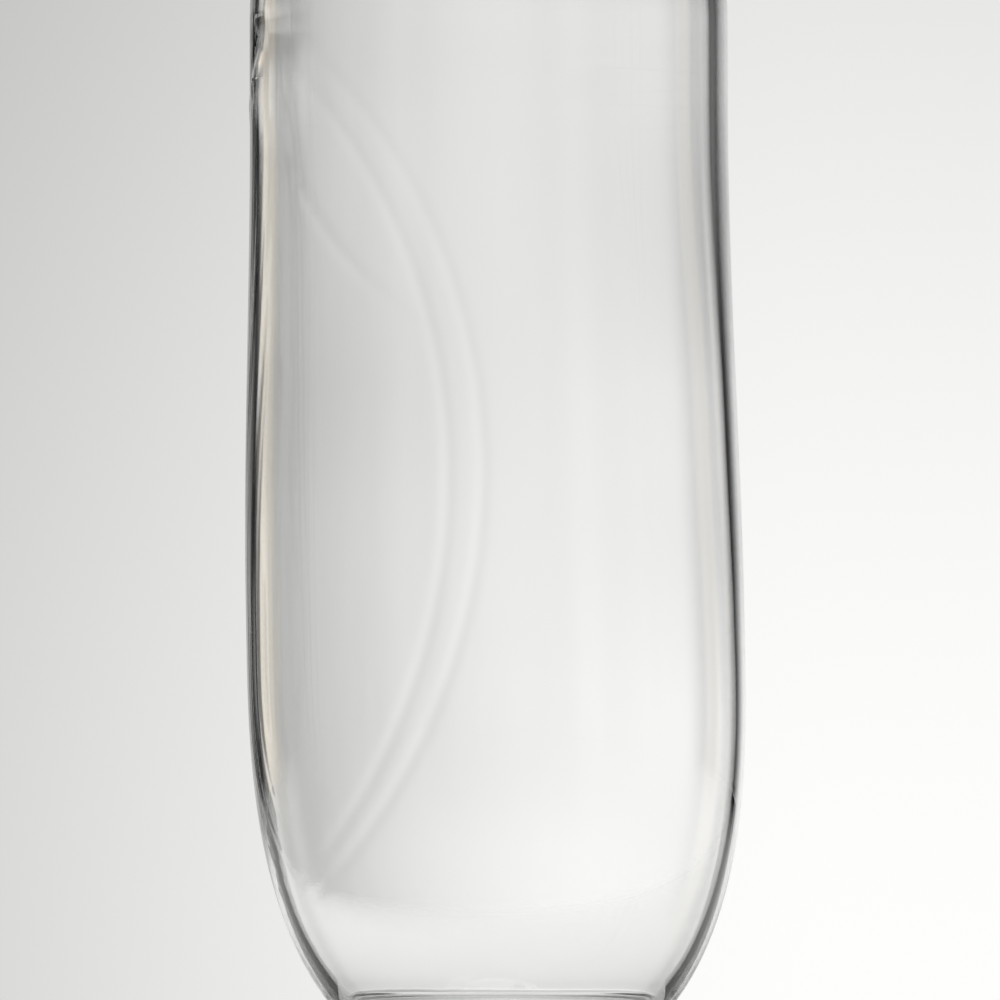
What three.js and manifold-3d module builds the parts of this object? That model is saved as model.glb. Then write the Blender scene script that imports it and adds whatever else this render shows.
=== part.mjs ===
// A tubulated retort of clear glass, in millimetres, +Z up.
//
// The flask stands on a small flat base and on the tip of its neck. Its sections are fused end to end:
// a tall body, a shoulder that bends over, a long neck that tapers down to the bench, and a short
// upright tubulature on the shoulder with a ground socket. The ground stopper lifts out of the socket.
// The origin is the centre of the flat base, and the neck runs towards -X.
//
// Every section is turned as if the flask were straight, with "along" as the distance from the base
// along its centre line, and is then bent onto that centre line.

import * as THREE from "three";
import { mergeVertices } from "three/addons/utils/BufferGeometryUtils.js";
import Module from "manifold-3d";

// Body
const WIDEST_RADIUS = 37.5;
const UPPER_RADIUS = 36;
const WIDEST_ALONG = 56;
const BOTTOM_CURVE_HEIGHT = 64;
const BOTTOM_CURVE_POWER = 2.6;
const BASE_RADIUS = 20;
const HEEL_RADIUS = 7.6;
const HEEL_TOP = 3.5;
const FLOOR_THICKNESS = 2;
const FLOOR_CORNER_RADIUS = 0.8;
const FLOOR_CORNER_SPREAD = 1.6;
const NARROWING_START = 62;
const NARROWING_END = 135;
const LEAN = 2;
const LEAN_POWER = 1.3;

// Centre line of the bend and the neck
const BEND_START = 150;
const BEND_RADIUS = 52;
const BEND_ANGLE = THREE.MathUtils.degToRad(135);
const BEND_END = BEND_START + BEND_RADIUS * BEND_ANGLE;
const NECK_ROOT_RADIUS = 17;
const NECK_TIP_RADIUS = 7;
const NECK_TAPER_POWER = 1.25;

// Wall thickness
const THIN_WALL = 1.55;
const HEEL_EXTRA_WALL = 1.4;
const HEEL_WALL_FADE = 9;
const UPPER_EXTRA_WALL = 0.6;
const UPPER_WALL_START = 25;
const BEND_WALL_LOSS = 0.8;
const NECK_WALL_LOSS = 0.3;

// Fused seams: rings of glass between two sections, with a small gap to each neighbour
const GAP = 0.3;
const SEAM_BEAD = 0.08;
const BODY_SEAM = { start: 136.2, length: 5.2 };
const NECK_SEAM = { start: BEND_END + 4, length: 4.4 };
const TIP_LENGTH = 24;
const TIP_RIM_LENGTH = 5;
const TIP_RIM_BEAD = 0.45;
const TIP_EDGE_ROUND = 0.5;
const TIP_EDGE_LENGTH = 1;

// Tubulature with its ground socket, 24 mm wide at the top with a taper of 1 in 10
const TUBULATURE_X = -24;
const TUBE_RADIUS = 14;
const TUBE_WALL = 1.9;
const TUBE_TOP = 232;
const TUBE_BOTTOM = 205;
const COLLAR_WIDTH = 2.4;
const COLLAR_HEIGHT = 2;
const SOCKET_HEIGHT = 31;
const SOCKET_MOUTH_RADIUS = 12;
const SOCKET_WALL = 2;
const GROUND_LENGTH = 29;
const GROUND_STEP = 0.6;
const TAPER = 1 / 20;
const RIM_RADIUS = 16;
const RIM_HEIGHT = 4;
const RIM_ROUND = 0.7;
const MOUTH_ROUND = 0.8;

// Stopper
const GROUND_CLEARANCE = 0.12;
const PLUG_WALL = 1.8;
const PLUG_ABOVE_SOCKET = 2.4;
const PLUG_EDGE_ROUND = 0.9;
const PLUG_TOP_RADIUS = 9;
const PLUG_TOP_THICKNESS = 2.6;
const HOLLOW_SHOULDER_DEPTH = 5;
const HOLLOW_CEILING_INSET = 2;
const GRIP_RADIUS = 13;
const GRIP_THICKNESS = 7.5;
const GRIP_EDGE = 2.6;
const GRIP_DISH = 0.6;
const GRIP_SINK = 1.5;
const STEM_RADIUS = 4.6;
const STEM_FOOT_RADIUS = 7.4;
const STEM_FOOT_HEIGHT = 3.4;
const STEM_FOOT_EDGE = 1;
const STEM_FOOT_SLOPE = 0.6;
const STEM_HEIGHT = 6.5;
const STEM_INSIDE_GRIP = 4;

// Facets: sides around, and the longest step along each section
const SIDES = 40;
const SMALL_SIDES = 32;
const STEP_BODY = 9;
const STEP_BEND = 7;
const STEP_NECK = 22;
const STEP_TIP = 10;
const SEAM_STEPS = 4;
const STEP_LOW = 4.5;
const STEP_HEEL = 1.2;
const LOW_END = 26;
const MERGE_DISTANCE = 0.001;

const wasm = await Module();
wasm.setup();

const point = (x, y) => new THREE.Vector2(x, y);

// 0 below the start, 1 above the end, and a smooth rise between them.
const rise = (start, end, x) => THREE.MathUtils.smoothstep(x, start, end);

// The neck is long enough for the rim of its tip to touch the plane of the base.
const bendCentre = new THREE.Vector2(-LEAN - BEND_RADIUS, BEND_START);
const bendEndHeight = BEND_START + BEND_RADIUS * Math.sin(BEND_ANGLE);
const slope = -Math.cos(BEND_ANGLE);
const neckLength = (bendEndHeight - NECK_TIP_RADIUS * Math.sin(BEND_ANGLE)) / slope;
const FLASK_END = BEND_END + neckLength;
const TIP_START = FLASK_END - TIP_LENGTH;

const socketTop = TUBE_TOP + GAP + SOCKET_HEIGHT;
const plugTop = socketTop + PLUG_ABOVE_SOCKET;

function leanAt(along) {
  const turn = (Math.PI * Math.min(along, BEND_START)) / (2 * BEND_START);
  return -LEAN * Math.sin(turn) ** LEAN_POWER;
}

function bodyRadius(along) {
  if (along < HEEL_TOP) {
    return BASE_RADIUS + Math.sqrt(HEEL_RADIUS ** 2 - (HEEL_RADIUS - along) ** 2);
  }
  if (along < WIDEST_ALONG) {
    const depth = (WIDEST_ALONG - along) / BOTTOM_CURVE_HEIGHT;
    return WIDEST_RADIUS * (1 - depth ** BOTTOM_CURVE_POWER) ** (1 / BOTTOM_CURVE_POWER);
  }
  return WIDEST_RADIUS - (WIDEST_RADIUS - UPPER_RADIUS) * rise(NARROWING_START, NARROWING_END, along);
}

function outerRadius(along) {
  if (along <= BEND_END) {
    return bodyRadius(along) - (UPPER_RADIUS - NECK_ROOT_RADIUS) * rise(BEND_START, BEND_END, along);
  }
  const left = Math.max(0, (FLASK_END - along) / neckLength);
  return NECK_TIP_RADIUS + (NECK_ROOT_RADIUS - NECK_TIP_RADIUS) * left ** NECK_TAPER_POWER;
}

function wallThickness(along) {
  const heel = HEEL_EXTRA_WALL * Math.exp(-(along - HEEL_TOP) / HEEL_WALL_FADE);
  const upper = UPPER_EXTRA_WALL * rise(UPPER_WALL_START, BEND_START, along);
  const bend = BEND_WALL_LOSS * rise(BEND_START, BEND_END, along);
  const neck = NECK_WALL_LOSS * rise(BEND_END, FLASK_END, along);
  return THIN_WALL + heel + upper - bend - neck;
}

const innerRadius = (along) => outerRadius(along) - wallThickness(along);

// The point of the centre line at a distance along it, and the direction of the bend's outer side there.
function centreLine(along) {
  if (along <= BEND_START) {
    return { x: leanAt(along), z: along, outX: 1, outZ: 0 };
  }
  const angle = Math.min((along - BEND_START) / BEND_RADIUS, BEND_ANGLE);
  const straight = Math.max(0, along - BEND_END);
  return {
    x: bendCentre.x + BEND_RADIUS * Math.cos(angle) - straight * Math.sin(angle),
    z: bendCentre.y + BEND_RADIUS * Math.sin(angle) + straight * Math.cos(angle),
    outX: Math.cos(angle),
    outZ: Math.sin(angle),
  };
}

// Bends a turned piece, whose y is the distance along the centre line, onto the centre line.
function bend(geometry) {
  const position = geometry.getAttribute("position");
  for (let i = 0; i < position.count; i++) {
    const across = position.getX(i);
    const side = -position.getZ(i);
    const at = centreLine(position.getY(i));
    position.setXYZ(i, at.x + across * at.outX, side, at.z + across * at.outZ);
  }
  return geometry;
}

// Points from one place along the flask to another, no further apart than step.
function stations(start, end, step) {
  const count = Math.max(1, Math.ceil(Math.abs(end - start) / step));
  return Array.from({ length: count + 1 }, (_, i) => start + ((end - start) * i) / count);
}

const outline = (radiusAt, places) => places.map((along) => point(radiusAt(along), along));

function closed(points) {
  return [...points, points[0].clone()];
}

// Points on an ellipse about a centre, at angles counted in degrees from its +X side.
function ellipse(centre, radiusX, radiusY, degrees) {
  return degrees.map((turn) => {
    const angle = THREE.MathUtils.degToRad(turn);
    return point(centre.x + radiusX * Math.cos(angle), centre.y + radiusY * Math.sin(angle));
  });
}

function turned(points, sides = SIDES) {
  return new THREE.LatheGeometry(points, sides);
}

// A closed solid for manifold-3d from a three.js geometry, and a three.js geometry from such a solid.
function solidFrom(geometry) {
  const bare = new THREE.BufferGeometry();
  const source = geometry.index ? geometry.toNonIndexed() : geometry;
  bare.setAttribute("position", source.getAttribute("position").clone());
  const merged = mergeVertices(bare, MERGE_DISTANCE);
  return new wasm.Manifold(
    new wasm.Mesh({
      numProp: 3,
      vertProperties: new Float32Array(merged.attributes.position.array),
      triVerts: new Uint32Array(merged.index.array),
    }),
  );
}

function geometryFrom(solid) {
  const mesh = solid.getMesh();
  const geometry = new THREE.BufferGeometry();
  geometry.setAttribute("position", new THREE.BufferAttribute(new Float32Array(mesh.vertProperties), 3));
  geometry.setIndex(new THREE.BufferAttribute(new Uint32Array(mesh.triVerts), 1));
  geometry.computeVertexNormals();
  return geometry;
}

// A section of the flask's wall, open at both ends, with a bead of glass inside and out.
function wallSection(start, end, step, bead = () => 0) {
  const places = stations(start, end, step);
  const outside = outline((along) => outerRadius(along) + bead(along), places);
  const inside = outline((along) => innerRadius(along) - bead(along), [...places].reverse());
  return bend(turned(closed([...outside, ...inside])));
}

// The solid inside a surface that lies a given distance outside the flask's outer or inner wall.
function filledBend(radiusAt, start, end, step) {
  const side = outline(radiusAt, stations(start, end, step));
  return bend(turned([point(0, start), ...side, point(0, end)]));
}

// Turned pieces of the tubulature stand upright over it: their y becomes height.
function standUp(geometry) {
  return geometry.rotateX(Math.PI / 2).translate(TUBULATURE_X, 0, 0);
}

function uprightTube(outer, inner) {
  const lower = [point(inner, TUBE_BOTTOM), point(outer, TUBE_BOTTOM)];
  const upper = [point(outer, TUBE_TOP), point(inner, TUBE_TOP)];
  return standUp(turned(closed([...lower, ...upper]), SMALL_SIDES));
}

function makeBody() {
  const heel = stations(0, HEEL_TOP, STEP_HEEL);
  const low = stations(HEEL_TOP, LOW_END, STEP_LOW);
  const side = stations(LOW_END, BODY_SEAM.start - GAP, STEP_BODY);
  const outside = outline(outerRadius, [...heel, ...low.slice(1), ...side.slice(1)]);
  const cornerTop = FLOOR_THICKNESS + FLOOR_CORNER_RADIUS;
  const insideLow = stations(LOW_END, cornerTop, STEP_LOW);
  const inside = outline(innerRadius, [...side.reverse(), ...insideLow.slice(1)]);
  const cornerWidth = FLOOR_CORNER_RADIUS * FLOOR_CORNER_SPREAD;
  const cornerCentre = point(innerRadius(cornerTop) - cornerWidth, cornerTop);
  const corner = ellipse(cornerCentre, cornerWidth, FLOOR_CORNER_RADIUS, [-30, -60, -90]);
  return bend(turned([point(0, 0), ...outside, ...inside, ...corner, point(0, FLOOR_THICKNESS)]));
}

function makeSeam(seam) {
  const bulge = (along) => SEAM_BEAD * Math.sin((Math.PI * (along - seam.start)) / seam.length);
  return wallSection(seam.start, seam.start + seam.length, seam.length / SEAM_STEPS, bulge);
}

function makeShoulder() {
  const start = BODY_SEAM.start + BODY_SEAM.length + GAP;
  const wall = solidFrom(wallSection(start, NECK_SEAM.start - GAP, STEP_BEND));
  const radius = TUBE_RADIUS + GAP;
  const depth = 2 * (TUBE_TOP - TUBE_BOTTOM);
  const hole = new THREE.CylinderGeometry(radius, radius, depth, SMALL_SIDES).translate(0, TUBE_TOP, 0);
  return geometryFrom(wall.subtract(solidFrom(standUp(hole))));
}

function makeTubulatureCollar() {
  const inner = TUBE_RADIUS + GAP;
  const ring = solidFrom(uprightTube(inner + COLLAR_WIDTH, inner));
  const near = filledBend((along) => outerRadius(along) + GAP, BEND_START, BEND_END, STEP_BEND);
  const far = filledBend((along) => outerRadius(along) + COLLAR_HEIGHT, BEND_START, BEND_END, STEP_BEND);
  return geometryFrom(ring.subtract(solidFrom(near)).intersect(solidFrom(far)));
}

function makeTubulature() {
  const tube = solidFrom(uprightTube(TUBE_RADIUS, TUBE_RADIUS - TUBE_WALL));
  const inside = filledBend(innerRadius, BEND_START, BEND_END, STEP_BEND);
  return geometryFrom(tube.subtract(solidFrom(inside)));
}

function makeSocket() {
  const bottom = TUBE_TOP + GAP;
  const groundEnd = socketTop - GROUND_LENGTH;
  const groundRadius = SOCKET_MOUTH_RADIUS - GROUND_LENGTH * TAPER;
  const rimStart = socketTop - RIM_HEIGHT;
  const points = [
    point(groundRadius + GROUND_STEP, bottom),
    point(TUBE_RADIUS, bottom),
    point(SOCKET_MOUTH_RADIUS + SOCKET_WALL, rimStart - RIM_HEIGHT / 2),
    point(RIM_RADIUS - RIM_ROUND, rimStart),
    point(RIM_RADIUS, rimStart + RIM_HEIGHT / 2),
    point(RIM_RADIUS - RIM_ROUND, socketTop - RIM_ROUND),
    point(RIM_RADIUS - 2 * RIM_ROUND, socketTop),
    point(SOCKET_MOUTH_RADIUS + MOUTH_ROUND / 2, socketTop),
    point(SOCKET_MOUTH_RADIUS, socketTop - MOUTH_ROUND),
    point(groundRadius, groundEnd),
  ];
  return standUp(turned(closed(points), SMALL_SIDES));
}

function makeNeck() {
  const start = NECK_SEAM.start + NECK_SEAM.length + GAP;
  return wallSection(start, TIP_START - GAP, STEP_NECK);
}

// The rim of the tip is thickened by the flame, and its outer edge is rounded off.
function makeNeckTip() {
  const rimStart = FLASK_END - TIP_RIM_LENGTH;
  const rimMiddle = FLASK_END - TIP_RIM_LENGTH / 2;
  const edgeStart = FLASK_END - TIP_EDGE_LENGTH;
  const bead = (along) => TIP_RIM_BEAD * rise(rimStart, rimMiddle, along);
  const round = (along) => TIP_EDGE_ROUND * rise(edgeStart, FLASK_END, along);
  const places = [...stations(TIP_START, rimStart, STEP_TIP), rimMiddle, edgeStart, FLASK_END];
  const outside = outline((along) => outerRadius(along) + bead(along) - round(along), places);
  const inside = outline(innerRadius, [...places].reverse());
  return bend(turned(closed([...outside, ...inside])));
}

// A ground plug, hollow and open at the bottom, with a rounded top.
function makeStopperPlug() {
  const bottom = socketTop - GROUND_LENGTH;
  const radiusAt = (z) => SOCKET_MOUTH_RADIUS - GROUND_CLEARANCE - (socketTop - z) * TAPER;
  const hollowTop = socketTop - HOLLOW_SHOULDER_DEPTH;
  const ceiling = plugTop - PLUG_TOP_THICKNESS;
  const outside = [
    point(radiusAt(bottom), bottom),
    point(radiusAt(socketTop), socketTop),
    point(radiusAt(socketTop) - PLUG_EDGE_ROUND / 3, socketTop + PLUG_EDGE_ROUND),
    point(PLUG_TOP_RADIUS, plugTop),
    point(0, plugTop),
  ];
  const inside = [
    point(0, ceiling),
    point(PLUG_TOP_RADIUS - PLUG_WALL - HOLLOW_CEILING_INSET, ceiling - PLUG_EDGE_ROUND),
    point(radiusAt(hollowTop) - PLUG_WALL, hollowTop),
    point(radiusAt(bottom) - PLUG_WALL, bottom),
  ];
  return standUp(turned([inside.at(-1), ...outside, ...inside], SMALL_SIDES));
}

// A flat disc with a round edge and slightly dished faces, on a short stem with a wide foot.
function makeStopperGrip() {
  const bottom = plugTop + GAP;
  const half = GRIP_THICKNESS / 2;
  const edgeCentre = point(GRIP_RADIUS - GRIP_EDGE, 0);
  const edge = ellipse(edgeCentre, GRIP_EDGE, half, [-90, -60, -30, 0, 30, 60, 90]);
  const disc = turned([point(0, GRIP_DISH - half), ...edge, point(0, half - GRIP_DISH)], SMALL_SIDES)
    .translate(TUBULATURE_X, 0, bottom + STEM_HEIGHT + GRIP_RADIUS - GRIP_SINK);
  const stemTop = bottom + STEM_HEIGHT + STEM_INSIDE_GRIP;
  const stem = [
    point(0, bottom),
    point(STEM_FOOT_RADIUS, bottom),
    point(STEM_FOOT_RADIUS - STEM_FOOT_SLOPE, bottom + STEM_FOOT_EDGE),
    point(STEM_RADIUS, bottom + STEM_FOOT_HEIGHT),
    point(STEM_RADIUS, stemTop),
    point(0, stemTop),
  ];
  return geometryFrom(solidFrom(disc).add(solidFrom(standUp(turned(stem, SMALL_SIDES)))));
}

const clearGlass = new THREE.MeshStandardMaterial({
  color: 0xeef1ef, roughness: 0.03, metalness: 0, transparent: true, opacity: 0.35,
});
const fusedGlass = new THREE.MeshStandardMaterial({
  color: 0xe6eae7, roughness: 0.05, metalness: 0, transparent: true, opacity: 0.45,
});
const groundGlass = new THREE.MeshStandardMaterial({
  color: 0xf2f3f2, roughness: 0.55, metalness: 0, transparent: true, opacity: 0.7,
});

const pieces = [
  ["body", makeBody(), clearGlass],
  ["body_seam", makeSeam(BODY_SEAM), fusedGlass],
  ["shoulder", makeShoulder(), clearGlass],
  ["neck_seam", makeSeam(NECK_SEAM), fusedGlass],
  ["neck", makeNeck(), clearGlass],
  ["neck_tip", makeNeckTip(), clearGlass],
  ["tubulature_collar", makeTubulatureCollar(), fusedGlass],
  ["tubulature", makeTubulature(), clearGlass],
  ["ground_socket", makeSocket(), groundGlass],
  ["stopper_plug", makeStopperPlug(), groundGlass],
  ["stopper_grip", makeStopperGrip(), clearGlass],
];

const retort = new THREE.Group();
for (const [name, geometry, material] of pieces) {
  const mesh = new THREE.Mesh(geometry, material);
  mesh.name = name;
  retort.add(mesh);
}

export default retort;
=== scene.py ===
"""A clear tubulated glass retort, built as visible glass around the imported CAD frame.

Every section of the glass is its own closed mesh that takes the place of its CAD node. Where two
sections are fused, both end in faces marked "fused", which let light straight through, so the row of
meshes looks like one wall of glass.

Lengths are in millimetres, except those of the camera, the lamp and the bench, which are in metres.
"along" is the distance from the base along the flask's centre line. A place inside the glass is given
by it and an angle round the centre line: 0 is the right of the front view (the outer side of the bend),
and pi is the left.
"""
import math

import bmesh
import bpy
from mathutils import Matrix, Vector, noise


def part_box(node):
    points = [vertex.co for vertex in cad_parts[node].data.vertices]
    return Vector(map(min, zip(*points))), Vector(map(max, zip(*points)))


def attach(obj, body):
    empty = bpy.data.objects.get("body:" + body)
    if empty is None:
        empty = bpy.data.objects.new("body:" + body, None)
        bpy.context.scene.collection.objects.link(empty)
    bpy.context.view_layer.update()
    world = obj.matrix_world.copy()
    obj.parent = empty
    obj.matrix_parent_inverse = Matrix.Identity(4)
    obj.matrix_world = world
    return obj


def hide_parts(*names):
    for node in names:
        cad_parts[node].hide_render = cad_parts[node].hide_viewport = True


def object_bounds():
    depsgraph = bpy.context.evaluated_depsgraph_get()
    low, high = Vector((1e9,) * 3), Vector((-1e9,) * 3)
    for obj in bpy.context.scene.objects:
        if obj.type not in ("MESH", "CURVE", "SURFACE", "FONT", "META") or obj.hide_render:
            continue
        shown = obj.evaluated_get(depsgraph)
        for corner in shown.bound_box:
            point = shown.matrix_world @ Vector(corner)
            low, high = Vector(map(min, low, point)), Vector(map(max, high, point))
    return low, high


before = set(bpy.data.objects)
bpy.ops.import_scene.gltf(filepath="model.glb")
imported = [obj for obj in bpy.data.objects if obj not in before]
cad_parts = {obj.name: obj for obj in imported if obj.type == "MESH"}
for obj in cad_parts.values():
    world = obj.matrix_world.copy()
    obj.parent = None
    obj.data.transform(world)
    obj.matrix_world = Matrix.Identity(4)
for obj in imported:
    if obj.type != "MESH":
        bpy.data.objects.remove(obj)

cad_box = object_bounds()
MM = 0.001


def box_mm(node):
    low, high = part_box(node)
    return low / MM, high / MM


body_low, body_high = box_mm("body")
shoulder_low, shoulder_high = box_mm("shoulder")
seam_low, seam_high = box_mm("body_seam")
tube_low, tube_high = box_mm("tubulature")
socket_low, socket_high = box_mm("ground_socket")
plug_low, plug_high = box_mm("stopper_plug")
grip_low, grip_high = box_mm("stopper_grip")

# Body, with the sizes that its box gives, less the little by which a smooth side bulges past facets
FACET_ALLOWANCE = 0.02
WIDEST_RADIUS = (body_high.y - body_low.y) / 2 - FACET_ALLOWANCE
UPPER_RADIUS = (shoulder_high.y - shoulder_low.y) / 2
WIDEST_ALONG = 56
BOTTOM_CURVE_HEIGHT = 64
BOTTOM_CURVE_POWER = 2.6
BASE_RADIUS = 20
HEEL_RADIUS = 7.6
HEEL_TOP = 3.5
LOW_PART_END = 30
FLOOR_THICKNESS = 2
FLOOR_CORNER_RADIUS = 0.8
FLOOR_CORNER_STEPS = 10
NARROWING_START = 62
NARROWING_END = 135
LEAN = 2
LEAN_POWER = 1.3

# Centre line of the bend and the neck
BEND_START = 150
BEND_RADIUS = 52
BEND_ANGLE = math.radians(135)
BEND_END = BEND_START + BEND_RADIUS * BEND_ANGLE
NECK_ROOT_RADIUS = 17
NECK_TIP_RADIUS = 7
NECK_TAPER_POWER = 1.25
NECK_SEAM_START = BEND_END + 4
NECK_SEAM_LENGTH = 4.4
TIP_LENGTH = 24

# The tip's fire-polished rim: a bead that swells, then a rounded edge. Starts are counted back from the
# flask's end.
TIP_RIM_BEAD = 0.36
TIP_BEAD_START = 5
TIP_BEAD_FULL = 2
TIP_EDGE_START = 0.7
TIP_EDGE_REACH = 0.68
TIP_EDGE_STEPS = 9

# Wall thickness
THIN_WALL = 1.55
HEEL_EXTRA_WALL = 1.4
HEEL_WALL_FADE = 9
UPPER_EXTRA_WALL = 0.6
UPPER_WALL_START = 25
BEND_WALL_LOSS = 0.8
NECK_WALL_LOSS = 0.3

# How lopsided the wall is: thicker on the right near the seam, and on the left low in the body, and
# thinner by as much on the other side
UPPER_LOPSIDED = 0.5
UPPER_LOPSIDED_RISE = (95, 140)
UPPER_LOPSIDED_FALL = (220, 150)
LOWER_LOPSIDED = 0.2
LOWER_LOPSIDED_ALONG = 48
LOWER_LOPSIDED_HALF_HEIGHT = 35

# Relief of the hand-blown glass. Each arc goes through three points (x, z) of the front view, from its
# head to its foot, and the last number is how far it stands out of the inside of the wall. The draw
# lines, the knuckle with the hollow below it, and the fold are at the left; a fold's length is counted
# round the wall from there.
FLOW_ARCS = [
    ((-30, 147), (-3, 86), (-28, 18), 0.025),
    ((-31, 143), (-8, 85), (-29, 21), 0.025),
    ((-32, 138), (-27, 120), (-15, 106), 0.035),
    ((-32, 76), (-29.5, 58), (-32, 39), 0.015),
]
ARC_WIDTH = 0.9
ARC_FADE = 10
DRAW_RISE = (12, 36)
DRAW_SPREAD = 0.8
DRAW_SPACING = 0.9
DRAW_LENGTH = 60
DRAW_DEPTH = 0.03
DRAW_NOISE_SLICE = 7.3
KNUCKLE_ALONG = 150
KNUCKLE_HEIGHT = 3
KNUCKLE_DEPTH = 0.22
KNUCKLE_SPREAD = 0.75
HOLLOW_ALONG = 141
HOLLOW_HALF_HEIGHT = 11
HOLLOW_DEPTH = 0.3
FOLD_START = 136.5
FOLD_SLOPE = 0.75
FOLD_LENGTH = 10
FOLD_HEAD_RISE = (-2, 1)
FOLD_TAIL = 3
FOLD_WIDTH = 0.8
FOLD_DEPTH = 0.12

# Fused joints: two sections meet halfway across the gap that the CAD keeps between them
GAP = 0.3
MEETING_GAP = 0.004
BODY_END = (body_high.z + seam_low.z) / 2
SEAM_END = (seam_high.z + shoulder_low.z) / 2
NECK_SEAM_END = NECK_SEAM_START + NECK_SEAM_LENGTH + GAP / 2
FOLD_ZONE = (BODY_END - 5, SEAM_END + 8)

# Tubulature and its collar, with the round cutter that opens the shoulder under it
TUBULATURE_X = (tube_low.x + tube_high.x) / 2
TUBE_RADIUS = (tube_high.x - tube_low.x) / 2
TUBE_WALL = 1.9
TUBE_INSIDE = TUBE_RADIUS - TUBE_WALL
TUBE_STEPS = 10
COLLAR_WIDTH = 3.2
COLLAR_RADIUS = TUBE_RADIUS + COLLAR_WIDTH
COLLAR_HEIGHT = 3
COLLAR_STEPS = 14
CUTTER_MIDDLE = 232
CUTTER_LENGTH = 60

# Socket. The outside runs into the rim through a few points, given as (out, up) from the wall's outside
# at the rim's foot. The mouth comes in through points given as (out, down) from the ground face's top.
SOCKET_TOP = socket_high.z
SOCKET_MOUTH_RADIUS = 12
SOCKET_WALL = 2
GROUND_LENGTH = 29
TAPER = 1 / 20
RIM_RADIUS = (socket_high.x - socket_low.x) / 2
RIM_HEIGHT = 4
RIM_FOOT = ((0, -3), (0, -2.5), (0, -2), (0.5, -0.6), (1.3, -0.1))
RIM_ROUNDING = 1.6
RIM_ROUNDING_DROP = 1.9
RIM_ARC = (-70, 80)
RIM_STEPS = 10
MOUTH_FACE_EDGE = (0.6, 0)
MOUTH_LIP = ((0.1, 0.4), (-0.03, 0.8))

# Plug. Its foot goes from the inside to the outside as (in, up) from the lower end of the ground face.
GROUND_CLEARANCE = 0.12
PLUG_WALL = 1.8
PLUG_FOOT = ((PLUG_WALL - 0.3, 0.1), (0.9, 0), (0.25, 0.15))
PLUG_GROUND_START = 0.6
PLUG_HOLLOW_START = 1
PLUG_TOP_RADIUS = 9
PLUG_TOP_EDGE = 0.02
PLUG_SHOULDER_CENTRE = (0.6, -2.3)
PLUG_SHOULDER_ROUNDING = 2.2
PLUG_SHOULDER_ARC = (5, 85)
PLUG_SHOULDER_STEPS = 8
PLUG_DOME_RADIUS = 8.2
PLUG_DOME_DROP = 11
PLUG_DOME_ARC = (90, 14)
PLUG_DOME_STEPS = 10

# Thumb piece, with its faces dished as (radius, depth), and its stem, which flares at the foot
STEM_FOOT_RADIUS = 7.4
STEM_FOOT_EDGE = (0.2, 0.5)
STEM_RADIUS = 4.6
STEM_FLARE_CENTRE = (2.6, 3.4)
STEM_FLARE_ROUNDING = 2.5
STEM_FLARE_ARC = (-100, -180)
STEM_FLARE_STEPS = 8
STEM_TOP_RADIUS = STEM_RADIUS + 0.3
STEM_IN_GRIP = 5
GRIP_RADIUS = (grip_high.x - grip_low.x) / 2
GRIP_THICKNESS = 7.5
GRIP_EDGE = 2.6
GRIP_EDGE_STEPS = 12
GRIP_DISH = ((0, 0.9), (5, 0.75), (9, 0.1))

# The thumb piece and its stem are melted into one by a remesh. Its foot stays a flat fused face.
MELT_VOXEL = 0.45
MELT_EASE = 0.5
MELT_EASE_ROUNDS = 8
FUSED_FOOT_HEIGHT = 0.35
FLAT_ENOUGH = 0.9

# Mesh density
SIDES = 400
TUBE_SIDES = 128
OUTER_STEP = 1.2
INNER_STEP = 0.7
HEEL_STEP = 0.35
LOW_STEP = 0.9
TIP_STEP = 0.6
SHARP_ANGLE = math.radians(50)

# Camera: level with the bench and far away, so the bench is seen edge-on below the picture
CAMERA_DISTANCE = 2.0
CAMERA_HEIGHT = 0.0034
VIEW_CENTRE = (-0.0003, 0.0, 0.0785)
VIEW_WIDTH = 0.1504
SENSOR_WIDTH = 36
CLIP_NEAR = 0.05
CLIP_FAR = 50

# Glass. The reliefs' heights are in metres, and their scales in waves to the metre. The grain's noise
# between the two values of GRAIN_SPAN is spread over the roughnesses of the ground faces.
GLASS_IOR = 1.474
GLASS_BODY_COLOUR = (0.5, 0.515, 0.505, 1)
GLASS_BODY_DENSITY = 22
BLOWN_RELIEF_SCALE = (60, 60, 12)
BLOWN_RELIEF = 0.25
BLOWN_RELIEF_HEIGHT = 0.0001
BLOWN_RELIEF_DETAIL = 3
GRAIN_SCALE = 5000
GRAIN_DETAIL = 4
GRAIN_SPAN = (0.3, 0.7)
GRAIN_RELIEF = 0.6
GRAIN_RELIEF_HEIGHT = 0.00002
GROUND_ROUGHNESS = (0.38, 0.5)

# A plain studio: four pale walls, dark screens in the corners behind the flask, which draw the edges of
# the glass, grey ones in front, a warm panel in one corner and a pale ceiling. Angles are in degrees.
# Directions run from straight behind the flask, with the left negative. A wall's middle is at a whole
# number of quarter turns. The screens are placed from the walls' middles as well, but all of them are
# turned SCREEN_TURN to the right. Edges are soft, and each is given by where it starts and ends, as is
# BACKDROP_SHADE, where the backdrop goes over from its left tone to its right one.
WALL_TONE = (0.9, 0.9, 0.89, 1)
BACKDROP_LEFT_TONE = (0.56, 0.56, 0.545, 1)
BACKDROP_RIGHT_TONE = (0.99, 0.99, 0.98, 1)
BACKDROP_SHADE = (-4.5, 1.5)
BACKDROP_HALF_WIDTH = 32
BACK_SCREEN_TONE = (0.02, 0.02, 0.02, 1)
FRONT_SCREEN_TONE = (0.75, 0.75, 0.75, 1)
SCREEN_TURN = 2
SCREEN_NEAR_EDGE = (12, 28)
SCREEN_FAR_EDGE = (34, 42)
HALF_WALL = 45.0
QUARTER_TURN = 90.0
PANEL_TONE = (1.15, 1.02, 0.82, 1)
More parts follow.
